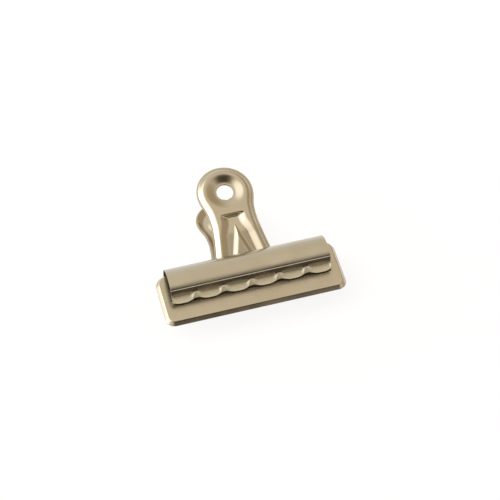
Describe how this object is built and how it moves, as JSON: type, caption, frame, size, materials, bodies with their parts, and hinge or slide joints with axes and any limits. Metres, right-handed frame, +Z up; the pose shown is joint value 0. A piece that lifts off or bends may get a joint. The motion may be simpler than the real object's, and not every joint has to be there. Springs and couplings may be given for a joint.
{
  "type": "bulldog clip",
  "caption": "Sprung steel paper clip: two pressed jaw levers with holed handles, held shut by a slotted spring barrel with scalloped feet.",
  "frame": {"origin": "middle of the clip's footprint on the surface it lies on", "axes": "+X along the jaws, -Y towards the gripping edge, +Y towards the handles, +Z up from the surface"},
  "size_m": [0.0762, 0.0662, 0.0258],
  "materials": {
    "lever_steel": "bright nickel plate, warm tint",
    "spring_steel": "bright nickel plate on tempered spring steel"
  },
  "bodies": {
    "spring": {"spring_barrel": "spring_steel"},
    "front": {"front_lever": "lever_steel"},
    "rear": {"rear_lever": "lever_steel"}
  },
  "joints": [
    {"name": "front_lever_hinge", "type": "hinge", "parent": "spring", "child": "front", "pos_m": [0, -0.00844, 0.01018], "axis": [-1, 0, 0], "range_deg": [0, 14.5], "stiffness_Nm_per_rad": 1.2, "springref_deg": -14.32, "deforming": ["spring_barrel"]},
    {"name": "rear_lever_hinge", "type": "hinge", "parent": "spring", "child": "rear", "pos_m": [0, -0.00844, 0.01018], "axis": [1, 0, 0], "range_deg": [0, 14.5], "stiffness_Nm_per_rad": 1.2, "springref_deg": -14.32, "deforming": ["spring_barrel"]}
  ],
  "couplings": [
    {"joint": "rear_lever_hinge", "follows": "front_lever_hinge", "ratio": 1}
  ]
}
